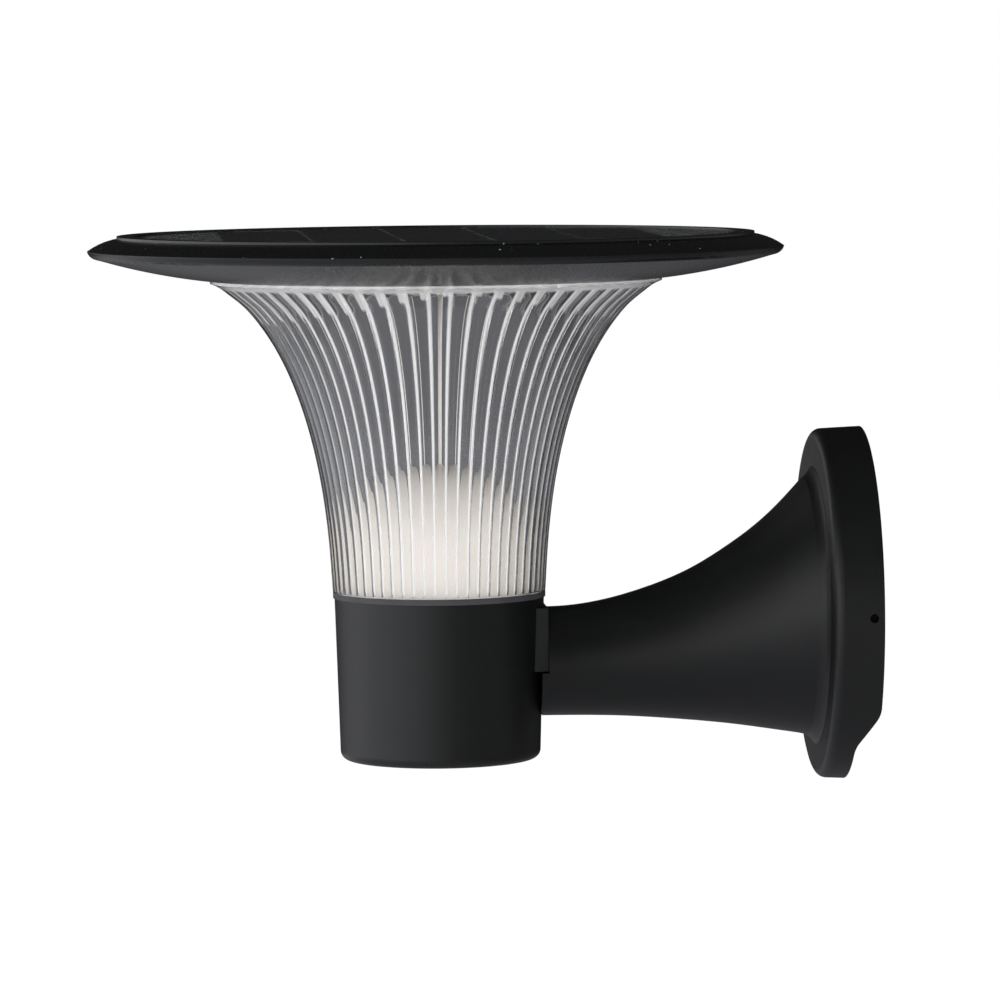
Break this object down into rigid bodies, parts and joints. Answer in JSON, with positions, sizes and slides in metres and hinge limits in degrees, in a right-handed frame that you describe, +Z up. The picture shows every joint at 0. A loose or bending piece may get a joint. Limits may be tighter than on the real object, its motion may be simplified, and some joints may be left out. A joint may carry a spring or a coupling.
{
  "type": "solar wall light",
  "caption": "Solar wall light: black saucer head with solar panel, clear fluted trumpet lens over a white dome, black cup, trumpet arm and round wall plate on a strip bracket.",
  "frame": {"origin": "centre of the wall plate on the wall", "axes": "+X from the lamp into the wall, +Y along the wall, +Z up"},
  "size_m": [0.2893, 0.26, 0.2069],
  "materials": {
    "m01": "smooth satin black",
    "m02": "polished low-iron glass",
    "m03": "blue-black silicon",
    "m04": "white laminate",
    "m05": "plain",
    "m06": "plain",
    "m07": "zinc plated",
    "m08": "clear fluted polycarbonate",
    "m09": "opal polypropylene",
    "m10": "white solder mask",
    "m11": "phosphor",
    "m12": "smoke grey satin",
    "m13": "white PVC",
    "m14": "plain",
    "m15": "fine spark texture",
    "m16": "printed shrink sleeve",
    "m17": "plain",
    "m18": "nickel plated",
    "m19": "green solder mask",
    "m20": "moulded packages",
    "m21": "plain",
    "m22": "plain",
    "m23": "fine sand texture",
    "m24": "blackened",
    "m25": "zinc plated strip"
  },
  "bodies": {
    "root": {"top_shell": "m01", "lower_shell": "m01", "panel_glass": "m02", "solar_cells": "m03", "panel_board": "m04", "panel_seal": "m05", "panel_terminal": "m06", "shell_seal": "m05", "shell_screws": "m07", "lens": "m08", "neck_seal": "m05", "neck_screws": "m07", "foot_seal": "m05", "dome_diffuser": "m09", "led_board": "m10", "led_chips": "m11", "led_tray": "m12", "tray_screws": "m07", "panel_lead": "m13", "lead_grommet": "m14", "cup_body": "m01", "bottom_cover": "m15", "cover_seal": "m05", "cover_screws": "m07", "battery_cell": "m16", "battery_holder": "m17", "battery_contacts": "m18", "controller_board": "m19", "board_parts": "m20", "board_screws": "m07", "switch_body": "m17", "switch_board": "m19", "arm": "m01", "arm_screws": "m07", "wall_plate": "m23", "plate_screws": "m07", "side_screws": "m24", "wall_bracket": "m25"},
    "button": {"power_button": "m21", "switch_plunger": "m22"}
  },
  "joints": [
    {"name": "press", "type": "slide", "parent": "root", "child": "button", "axis": [0, 0, 1], "range_m": [0, 0.0015], "stiffness_N_per_m": 250}
  ]
}
